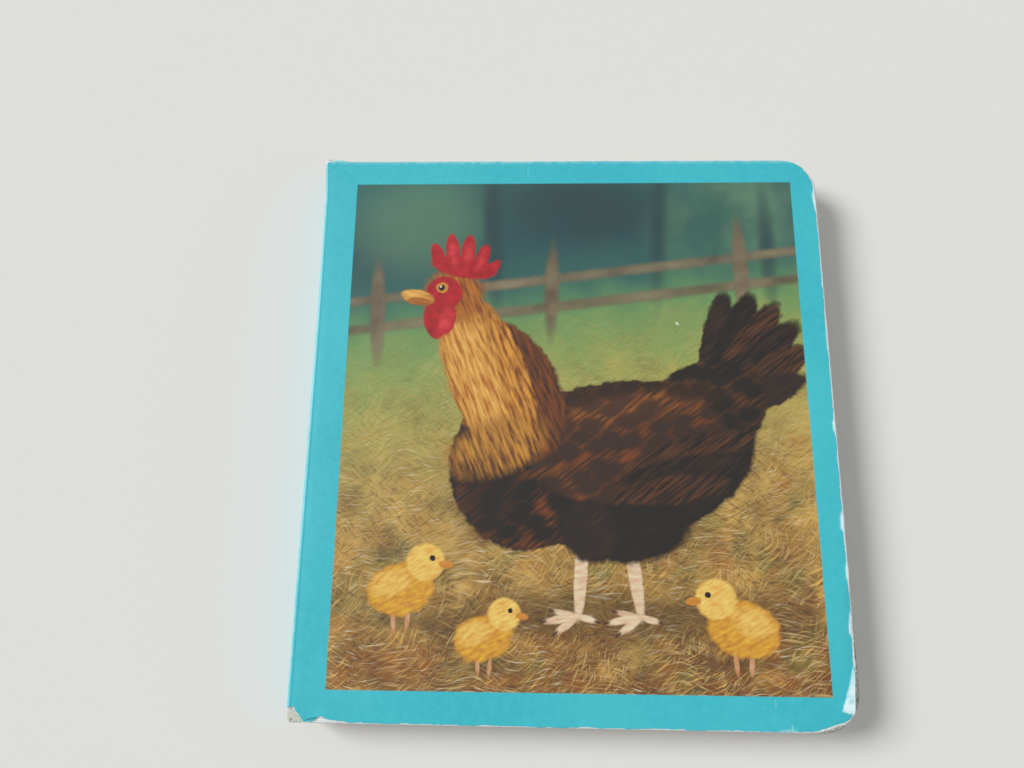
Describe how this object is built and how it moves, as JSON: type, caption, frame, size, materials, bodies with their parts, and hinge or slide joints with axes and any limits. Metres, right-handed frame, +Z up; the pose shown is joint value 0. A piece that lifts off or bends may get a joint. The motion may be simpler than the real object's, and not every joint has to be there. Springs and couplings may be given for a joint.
{
  "type": "board book",
  "caption": "Small worn board book with round fore-edge corners, thick folded leaves and a creased wrap cover that opens flat at its spine.",
  "frame": {"origin": "centre of the closed book's box, on the surface that it lies on", "axes": "+Z up through the front cover, +Y from tail to head, +X from the spine to the fore-edge"},
  "size_m": [0.145, 0.158, 0.012],
  "materials": {
    "cover_board": "printed teal, satin laminate",
    "page_board": "coated white, bare cut edges"
  },
  "bodies": {
    "back": {"back_cover": "cover_board", "pages": "page_board"},
    "spine": {"spine": "cover_board"},
    "front": {"front_cover": "cover_board"}
  },
  "joints": [
    {"name": "back_cover_hinge", "type": "hinge", "parent": "back", "child": "spine", "pos_m": [-0.07224, 0, 0.00026], "axis": [0, -1, 0], "range_deg": [0, 90]},
    {"name": "front_cover_hinge", "type": "hinge", "parent": "spine", "child": "front", "pos_m": [-0.07224, 0, 0.01174], "axis": [0, -1, 0], "range_deg": [0, 90]}
  ]
}
